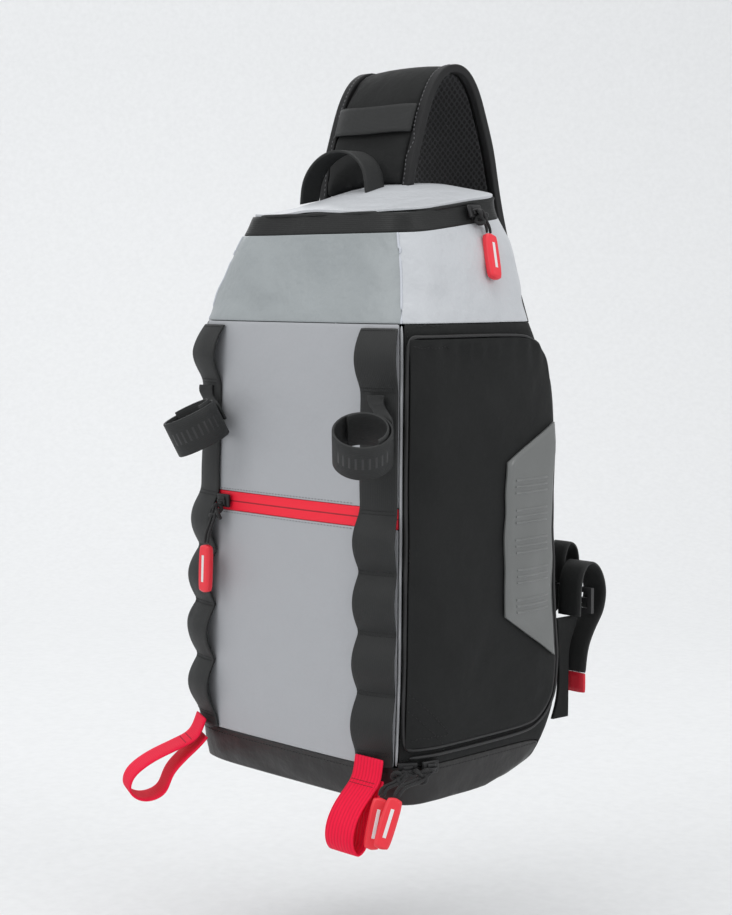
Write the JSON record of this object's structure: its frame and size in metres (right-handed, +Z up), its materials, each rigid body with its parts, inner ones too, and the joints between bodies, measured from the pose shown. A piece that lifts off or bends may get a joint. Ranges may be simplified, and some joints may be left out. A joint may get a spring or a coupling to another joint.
{
  "type": "fishing tackle sling bag",
  "caption": "Upright sling bag with a zipped yoke, front webbing loops, tool rings, red lash loops, a side pocket and one padded shoulder strap.",
  "frame": {"origin": "underside of the top of the shoulder strap's arch, midway across the strap, where a shoulder, hand or hook carries the bag", "axes": "+Z up the bag, -Y out of its front with the red zip, +X to the right seen from the front, towards the side pocket"},
  "size_m": [0.24, 0.2663, 0.518],
  "materials": {
    "panel_grey": "smooth coated cloth with a soft sheen",
    "yoke_grey": "smooth coated cloth with a soft sheen",
    "pale_grey": "smooth coated cloth with a soft sheen",
    "black_cloth": "matt woven cloth",
    "coated_black": "coated cloth with a soft sheen",
    "mesh": "open padded mesh",
    "binding": "ribbed tape",
    "reflective_piping": "pale reflective cord cover",
    "black_webbing": "ribbed flat webbing",
    "red_webbing": "ribbed flat webbing",
    "red_zip": "smooth water-resistant zip tape",
    "black_zip": "smooth water-resistant zip tape",
    "patch": "matt moulded ribs",
    "slider": "black semi-gloss",
    "cord": "braided cord",
    "red_grip": "soft satin",
    "lock_plastic": "satin moulded",
    "red_tag": "smooth woven"
  },
  "bodies": {
    "root": {"front_panel_upper": "panel_grey", "front_panel_lower": "panel_grey", "yoke_front": "yoke_grey", "yoke_right": "pale_grey", "yoke_left": "pale_grey", "top_flap": "pale_grey", "side_wall_right": "black_cloth", "side_wall_left": "black_cloth", "back_wall": "black_cloth", "yoke_back": "black_cloth", "side_door": "black_cloth", "strap_wing": "black_cloth", "shoulder_strap": "black_cloth", "strap_keeper": "black_cloth", "base_boot": "coated_black", "back_pad": "mesh", "strap_mesh": "mesh", "strap_binding_left": "binding", "strap_binding_right": "binding", "door_piping": "binding", "gusset_piping": "binding", "corner_piping_right": "reflective_piping", "corner_piping_left": "reflective_piping", "webbing_column_right": "black_webbing", "webbing_column_left": "black_webbing", "tool_ring_right": "black_webbing", "tool_ring_left": "black_webbing", "ring_tab_right": "black_webbing", "ring_tab_left": "black_webbing", "grab_handle": "black_webbing", "adjust_webbing": "black_webbing", "webbing_fold": "black_webbing", "tail_webbing": "black_webbing", "lash_loop_right": "red_webbing", "lash_loop_left": "red_webbing", "front_zip": "red_zip", "top_zip": "black_zip", "grip_patch": "patch", "front_zip_slider": "slider", "top_zip_slider": "slider", "door_zip_1_slider": "slider", "door_zip_2_slider": "slider", "front_zip_cord": "cord", "top_zip_cord": "cord", "door_zip_1_cord": "cord", "door_zip_2_cord": "cord", "front_zip_grip": "red_grip", "top_zip_grip": "red_grip", "door_zip_1_grip": "red_grip", "door_zip_2_grip": "red_grip", "ladder_lock": "lock_plastic", "tail_tag": "red_tag"}
  },
  "joints": []
}
